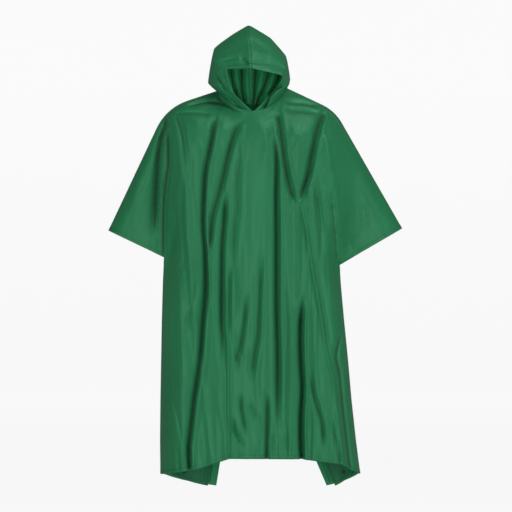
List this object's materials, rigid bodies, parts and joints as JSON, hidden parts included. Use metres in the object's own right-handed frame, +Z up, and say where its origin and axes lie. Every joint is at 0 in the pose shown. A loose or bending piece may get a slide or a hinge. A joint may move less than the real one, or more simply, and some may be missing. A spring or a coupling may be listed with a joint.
{
  "type": "rain poncho",
  "caption": "Hooded rain poncho of thin coated film, filled out as worn with no wearer: one sheet folded over the shoulders, wide cuffs, side wings closed with press studs",
  "frame": {"origin": "On the wearer's shoulder line at the middle of the neck, where the poncho hangs from the shoulders", "axes": "+Z up, -Y the way the wearer faces, +X to the wearer's left"},
  "size_m": [0.8233, 0.3612, 1.3125],
  "materials": {
    "film": "smooth coated film with a soft sheen",
    "press_stud": "satin moulded plastic"
  },
  "bodies": {
    "root": {"front_panel": "film", "back_panel": "film", "hood_left": "film", "hood_right": "film", "snap_left_low_stud_cap": "press_stud", "snap_left_low_socket_cap": "press_stud", "snap_left_high_stud_cap": "press_stud", "snap_left_high_socket_cap": "press_stud", "snap_right_low_stud_cap": "press_stud", "snap_right_low_socket_cap": "press_stud", "snap_right_high_stud_cap": "press_stud", "snap_right_high_socket_cap": "press_stud"}
  },
  "joints": []
}
